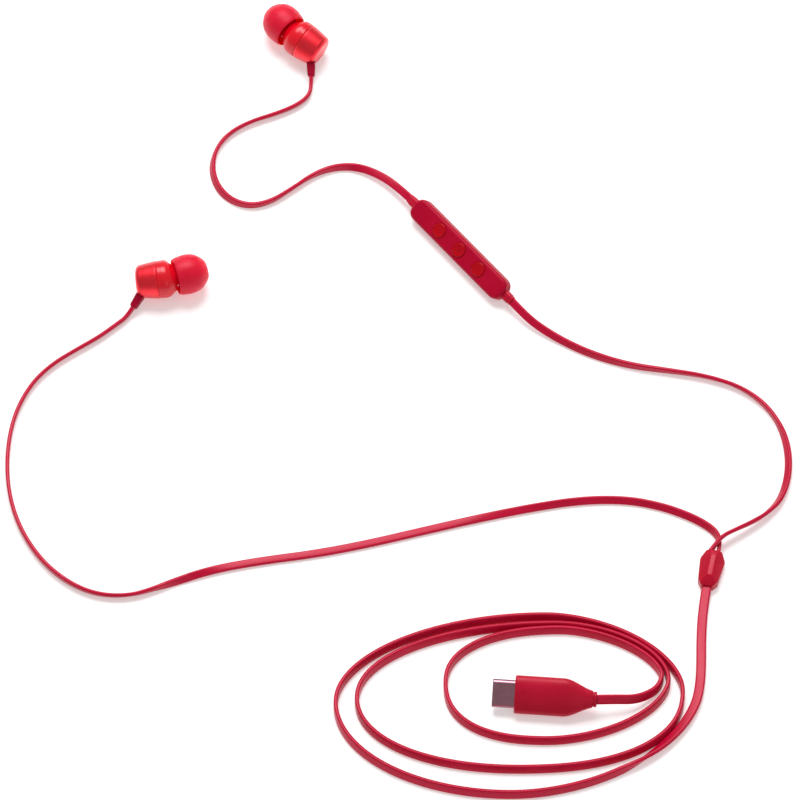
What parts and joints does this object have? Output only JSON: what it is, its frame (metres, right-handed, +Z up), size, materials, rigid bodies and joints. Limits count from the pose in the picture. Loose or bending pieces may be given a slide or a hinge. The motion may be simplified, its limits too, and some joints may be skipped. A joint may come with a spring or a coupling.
{
  "type": "wired earphones",
  "caption": "In-ear earphones on a flat cable, with a button remote, a Y-split and a USB-C plug, laid out with the main lead coiled.",
  "frame": {"origin": "middle of the surface under the two earpieces (bottom centre of their box)", "axes": "+Z up from the surface, +Y away from the coil and along the two earpieces' longer spacing, +X to the right towards the Y-split"},
  "size_m": [0.2337, 0.2699, 0.0121],
  "materials": {
    "anodised_shell": "satin red anodised",
    "painted_housing": "satin gloss red",
    "silicone": "soft matt silicone",
    "cable_jacket": "satin red elastomer",
    "overmould": "satin red elastomer",
    "remote_case": "fine satin",
    "button": "satin gloss",
    "steel_mesh": "woven",
    "steel": "pressed",
    "magnet": "nickel plated",
    "copper": "enamelled wire",
    "film": "thin film",
    "circuit_board": "solder mask",
    "plated_steel": "nickel plated",
    "black_plastic": "moulded",
    "gold": "gold plated"
  },
  "bodies": {
    "root": {"left_rear_shell": "anodised_shell", "left_front_housing": "painted_housing", "left_nozzle_mesh": "steel_mesh", "left_driver_basket": "steel", "left_driver_magnet": "magnet", "left_voice_coil": "copper", "left_diaphragm": "film", "left_strain_relief": "cable_jacket", "right_rear_shell": "anodised_shell", "right_front_housing": "painted_housing", "right_nozzle_mesh": "steel_mesh", "right_driver_basket": "steel", "right_driver_magnet": "magnet", "right_voice_coil": "copper", "right_diaphragm": "film", "right_strain_relief": "cable_jacket", "left_cable": "cable_jacket", "right_cable_upper": "cable_jacket", "right_cable_lower": "cable_jacket", "main_lead": "cable_jacket", "main_coil": "cable_jacket", "plug_lead": "cable_jacket", "y_split": "overmould", "remote_front_cover": "remote_case", "remote_back_cover": "remote_case", "remote_switch_board": "circuit_board", "remote_tact_switches": "steel", "remote_microphone": "steel", "remote_upper_sleeve": "cable_jacket", "remote_lower_sleeve": "cable_jacket", "plug_overmould": "overmould", "usb_shell": "plated_steel", "usb_insulator": "black_plastic", "usb_contacts": "gold", "dac_board": "circuit_board", "dac_chip": "black_plastic"},
    "left_tip": {"left_ear_tip": "silicone"},
    "right_tip": {"right_ear_tip": "silicone"},
    "volume_up_button": {"button_volume_up": "button"},
    "play_button": {"button_play": "button"},
    "volume_down_button": {"button_volume_down": "button"}
  },
  "joints": [
    {"name": "left_tip_slide", "type": "slide", "parent": "root", "child": "left_tip", "axis": [0.9547, 0.2968, -0.0201], "range_m": [0, 0.006]},
    {"name": "right_tip_slide", "type": "slide", "parent": "root", "child": "right_tip", "axis": [-0.6431, 0.7656, -0.0201], "range_m": [0, 0.006]},
    {"name": "button_volume_up_press", "type": "slide", "parent": "root", "child": "volume_up_button", "axis": [0.4387, 0.3695, -0.8192], "range_m": [0, 0.0003], "stiffness_N_per_m": 4000},
    {"name": "button_play_press", "type": "slide", "parent": "root", "child": "play_button", "axis": [0.4387, 0.3695, -0.8192], "range_m": [0, 0.0003], "stiffness_N_per_m": 4000},
    {"name": "button_volume_down_press", "type": "slide", "parent": "root", "child": "volume_down_button", "axis": [0.4387, 0.3695, -0.8192], "range_m": [0, 0.0003], "stiffness_N_per_m": 4000}
  ]
}
